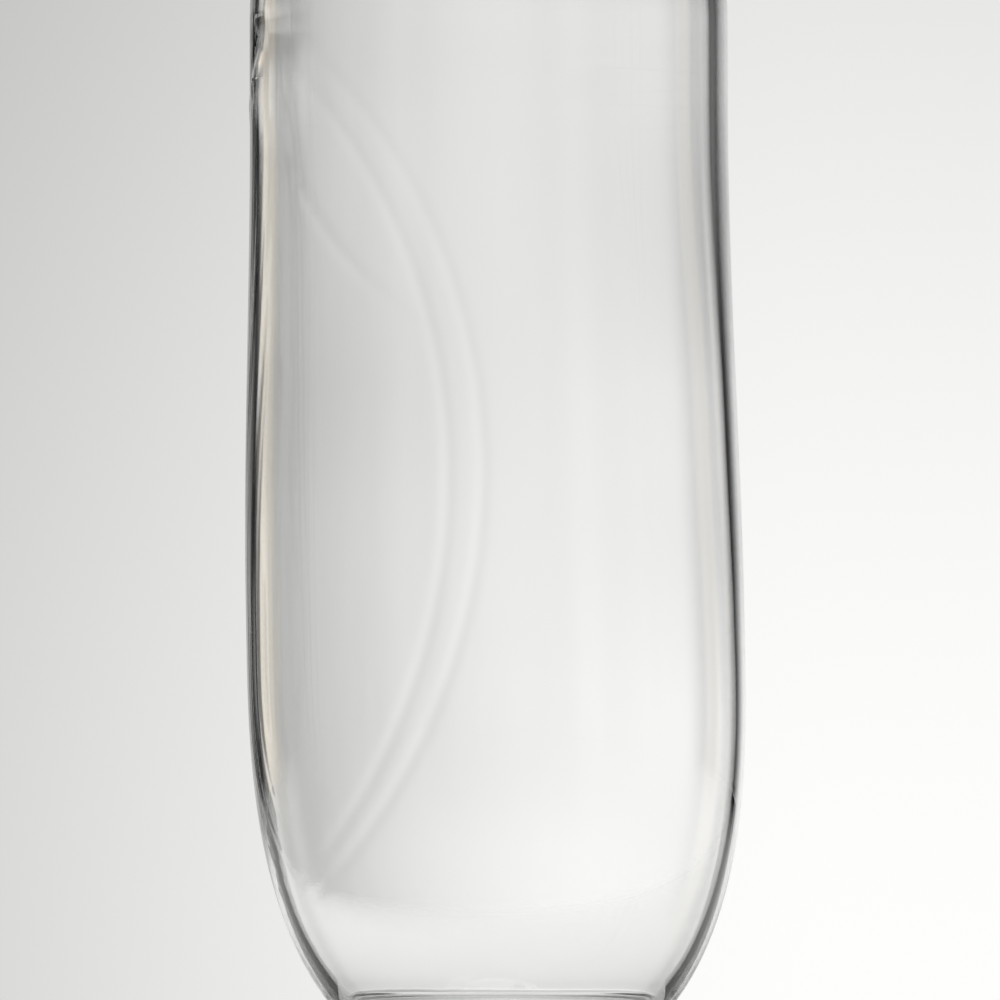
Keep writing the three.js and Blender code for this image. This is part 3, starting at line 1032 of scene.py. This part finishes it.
def studio_wall(nodes, links, turn):
    """The tone of the walls, screens and panel in a direction round the flask."""
    shade = range_node(nodes, links, turn, *BACKDROP_SHADE)
    backdrop = mix_node(nodes, links, shade, BACKDROP_LEFT_TONE, BACKDROP_RIGHT_TONE)
    off_middle = math_node(nodes, links, "ABSOLUTE", turn)
    beyond = math_node(nodes, links, "GREATER_THAN", off_middle, BACKDROP_HALF_WIDTH)
    wall = mix_node(nodes, links, beyond, backdrop, WALL_TONE)
    off_wall = math_node(nodes, links, "PINGPONG", turn_from(nodes, links, turn, SCREEN_TURN), HALF_WALL)
    near = range_node(nodes, links, off_wall, *SCREEN_NEAR_EDGE)
    far = range_node(nodes, links, off_wall, *SCREEN_FAR_EDGE, 1.0, 0.0)
    in_front = math_node(nodes, links, "GREATER_THAN", off_middle, QUARTER_TURN)
    screen = mix_node(nodes, links, in_front, BACK_SCREEN_TONE, FRONT_SCREEN_TONE)
    screened = mix_node(nodes, links, math_node(nodes, links, "MULTIPLY", near, far), wall, screen)
    off_panel = turn_from(nodes, links, turn, PANEL_MIDDLE)
    panel = range_node(nodes, links, off_panel, *PANEL_HALF_WIDTH, 1.0, 0.0)
    return mix_node(nodes, links, panel, screened, PANEL_TONE)


def make_surroundings():
    """The studio round the flask, as a world that varies with direction only."""
    world = bpy.data.worlds.new("studio")
    bpy.context.scene.world = world
    world.use_nodes = True
    nodes, links = world.node_tree.nodes, world.node_tree.links
    direction = nodes.new("ShaderNodeTexCoord")
    parts = nodes.new("ShaderNodeSeparateXYZ")
    links.new(direction.outputs["Generated"], parts.inputs[0])
    turn = math_node(nodes, links, "ARCTAN2", parts.outputs["X"], parts.outputs["Y"])
    turn = math_node(nodes, links, "DEGREES", turn)
    height = math_node(nodes, links, "DEGREES", math_node(nodes, links, "ARCSINE", parts.outputs["Z"]))
    wall = studio_wall(nodes, links, turn)
    level = range_node(nodes, links, height, *TOP_SHADE, 1.0, 1.0 - TOP_SHADE_DEPTH)
    shaded = nodes.new("ShaderNodeVectorMath")
    shaded.operation = "SCALE"
    links.new(wall, shaded.inputs[0])
    links.new(level, shaded.inputs["Scale"])
    above = range_node(nodes, links, height, *CEILING_EDGE)
    colour = mix_node(nodes, links, above, shaded.outputs["Vector"], CEILING_TONE)
    below = range_node(nodes, links, height, BENCH_HAZE[1], BENCH_HAZE[0], 1.0, 0.0)
    colour = mix_node(nodes, links, below, colour, BENCH_TONE)
    links.new(colour, nodes["Background"].inputs["Color"])


def make_bench():
    """A wide pale bench top that fades into the haze of the studio, so that no edge or horizon shows."""
    mesh = bmesh.new()
    bmesh.ops.create_circle(mesh, cap_ends=True, segments=BENCH_SIDES, radius=BENCH_RADIUS)
    data = bpy.data.meshes.new("bench")
    mesh.to_mesh(data)
    mesh.free()
    bench = bpy.data.objects.new("bench", data)
    bpy.context.scene.collection.objects.link(bench)
    bench.location.z = cad_box[0].z - BENCH_DROP
    material, nodes, links = node_material("pale_bench")
    shader = nodes["Principled BSDF"]
    shader.inputs["Base Color"].default_value = BENCH_COLOUR
    shader.inputs["Roughness"].default_value = BENCH_ROUGHNESS
    shader.inputs["Specular IOR Level"].default_value = BENCH_SHINE
    place = nodes.new("ShaderNodeTexCoord")
    reach = nodes.new("ShaderNodeVectorMath")
    reach.operation = "LENGTH"
    links.new(place.outputs["Object"], reach.inputs[0])
    fade = range_node(nodes, links, reach.outputs["Value"], *BENCH_FADE, 1.0, 0.0)
    links.new(fade, shader.inputs["Alpha"])
    data.materials.append(material)


def make_cards():
    """Two black cards that fan out from the foot of the body, hidden from the camera itself."""
    material, nodes, links = node_material("black_card")
    shader = nodes["Principled BSDF"]
    shader.inputs["Base Color"].default_value = CARD_COLOUR
    shader.inputs["Roughness"].default_value = 1
    shader.inputs["Specular IOR Level"].default_value = 0
    path = nodes.new("ShaderNodeLightPath")
    crossed = path.outputs["Transmission Depth"]
    at_edge = math_node(nodes, links, "LESS_THAN", crossed, CARD_SURFACES + 0.5)
    links.new(at_edge, shader.inputs["Alpha"])
    for side, name in ((-1, "left_card"), (1, "right_card")):
        outward = Vector((side * math.sin(CARD_TURN), math.cos(CARD_TURN), 0))
        across = Vector((outward.y, -outward.x, 0))
        start = Vector((side * CARD_START, 0, CARD_HEIGHT))
        end = start + outward * CARD_LENGTH
        near, far = CARD_HALF_WIDTH
        corners = [start - across * near, start + across * near, end + across * far, end - across * far]
        data = bpy.data.meshes.new(name)
        data.from_pydata([p * MM for p in corners], [], [(0, 1, 2, 3)])
        data.materials.append(material)
        card = bpy.data.objects.new(name, data)
        bpy.context.scene.collection.objects.link(card)
        card.visible_camera = False
        card.visible_diffuse = False
        card.visible_glossy = False
        card.visible_shadow = False


def make_lights():
    light = bpy.data.lights.new("overhead", "AREA")
    light.shape = "DISK"
    light.size = LAMP_SIZE
    light.energy = LAMP_POWER
    lamp = bpy.data.objects.new("overhead", light)
    lamp.location = LAMP_PLACE
    lamp.visible_camera = False
    bpy.context.scene.collection.objects.link(lamp)


def make_camera():
    data = bpy.data.cameras.new("camera")
    camera = bpy.data.objects.new("camera", data)
    bpy.context.scene.collection.objects.link(camera)
    camera.location = (VIEW_CENTRE[0], -CAMERA_DISTANCE, CAMERA_HEIGHT)
    towards = Vector(VIEW_CENTRE) - camera.location
    camera.rotation_euler = towards.to_track_quat("-Z", "Y").to_euler()
    data.sensor_width = SENSOR_WIDTH
    data.lens = SENSOR_WIDTH * towards.length / VIEW_WIDTH
    data.clip_start = CLIP_NEAR
    data.clip_end = CLIP_FAR
    bpy.context.scene.camera = camera
    bpy.context.scene.view_settings.view_transform = "Standard"


make_surroundings()
make_bench()
make_cards()
make_lights()
make_camera()

make_body()
make_seam("body_weld", "body_seam", BODY_END, SEAM_END)
make_shoulder()
make_seam("neck_weld", "neck_seam", NECK_SEAM_START - GAP / 2, NECK_SEAM_END)
make_neck()
make_neck_tip()
make_collar()
make_tubulature()
make_socket()
make_plug()
make_grip()
